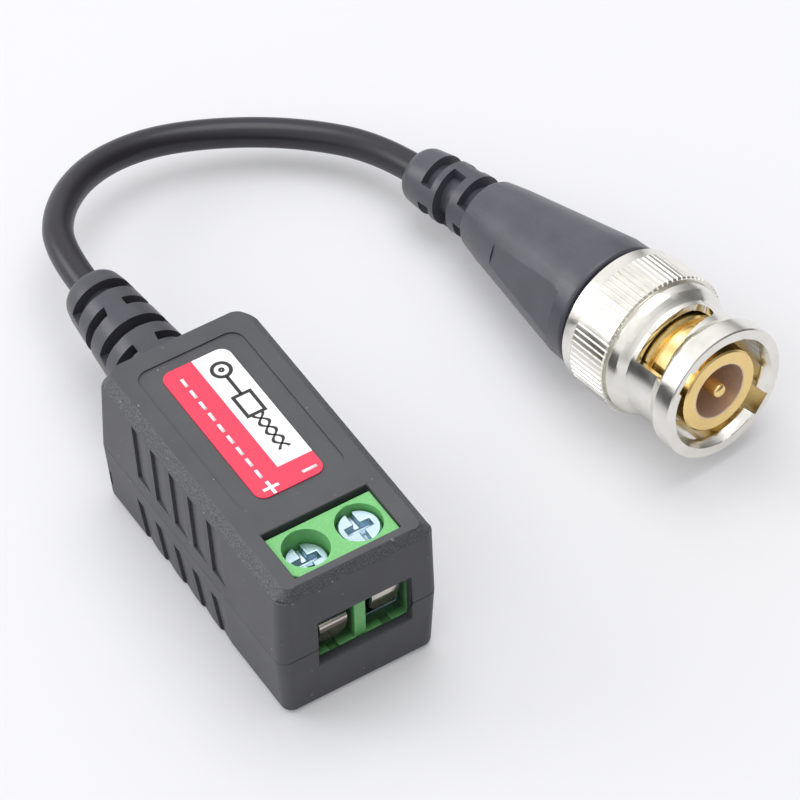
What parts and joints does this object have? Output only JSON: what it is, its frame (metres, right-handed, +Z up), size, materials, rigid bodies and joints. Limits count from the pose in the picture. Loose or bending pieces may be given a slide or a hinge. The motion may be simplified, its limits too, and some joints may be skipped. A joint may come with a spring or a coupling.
{
  "type": "video balun",
  "caption": "Small rectangular video balun with a green screw terminal at one end and a short coaxial lead with a bayonet plug at the other.",
  "frame": {"origin": "bottom centre of the case", "axes": "+X towards the terminal end, +Y towards the side where the plug lies, +Z up"},
  "size_m": [0.0616, 0.053, 0.0151],
  "materials": {
    "case": "fine spark texture",
    "label": "printed film",
    "terminal": "satin moulding",
    "zinc": "zinc plated",
    "laminate": "solder mask",
    "ferrite": "sintered",
    "winding": "enamelled wire",
    "component": "moulded",
    "ceramic": "sintered",
    "relief": "satin",
    "jacket": "satin",
    "nickel": "nickel plated",
    "gold": "gold plated",
    "insulation": "moulded",
    "ferrule": "nickel plated",
    "spring": "polished strip"
  },
  "bodies": {
    "balun": {"case_lower": "case", "case_upper": "case", "label": "label", "terminal_body": "terminal", "terminal_cage_1": "zinc", "terminal_cage_2": "zinc", "circuit_board": "laminate", "transformer_core": "ferrite", "winding_1": "winding", "winding_2": "winding", "surge_suppressor": "component", "chip_capacitor": "ceramic", "case_relief": "relief", "case_tail": "jacket", "cord": "jacket", "plug_tail": "jacket", "plug_boot": "relief", "crimp_ferrule": "ferrule", "contact_sleeve": "gold", "insulator": "insulation", "centre_pin": "gold", "spring_washer": "spring", "retaining_ring": "spring"},
    "guard_1": {"wire_guard_1": "zinc"},
    "screw_1": {"terminal_screw_1": "zinc"},
    "guard_2": {"wire_guard_2": "zinc"},
    "screw_2": {"terminal_screw_2": "zinc"},
    "thrust_washer": {"flat_washer": "spring"},
    "nut": {"coupling_nut": "nickel"}
  },
  "joints": [
    {"name": "guard_1_slide", "type": "slide", "parent": "balun", "child": "guard_1", "axis": [0, 0, 1], "range_m": [-0.0004, 0.0012]},
    {"name": "screw_1_turn", "type": "hinge", "parent": "guard_1", "child": "screw_1", "pos_m": [0.01095, -0.00254, 0.012], "axis": [0, 0, 1], "range_deg": [-325, 965]},
    {"name": "guard_2_slide", "type": "slide", "parent": "balun", "child": "guard_2", "axis": [0, 0, 1], "range_m": [-0.0013, 0.0003]},
    {"name": "screw_2_turn", "type": "hinge", "parent": "guard_2", "child": "screw_2", "pos_m": [0.01095, 0.00254, 0.012], "axis": [0, 0, 1], "range_deg": [-1045, 245]},
    {"name": "nut_float", "type": "slide", "parent": "balun", "child": "thrust_washer", "axis": [0.9887, 0.1179, 0.0924], "range_m": [0, 0.0004], "stiffness_N_per_m": 600, "deforming": ["spring_washer"]},
    {"name": "nut_turn", "type": "hinge", "parent": "thrust_washer", "child": "nut", "pos_m": [0.00379, 0.03821, 0.00731], "axis": [0.9887, 0.1179, 0.0924], "continuous": true}
  ],
  "couplings": [
    {"joint": "screw_1_turn", "follows": "guard_1_slide", "rad_per_m": 13963},
    {"joint": "screw_2_turn", "follows": "guard_2_slide", "rad_per_m": 13963}
  ]
}
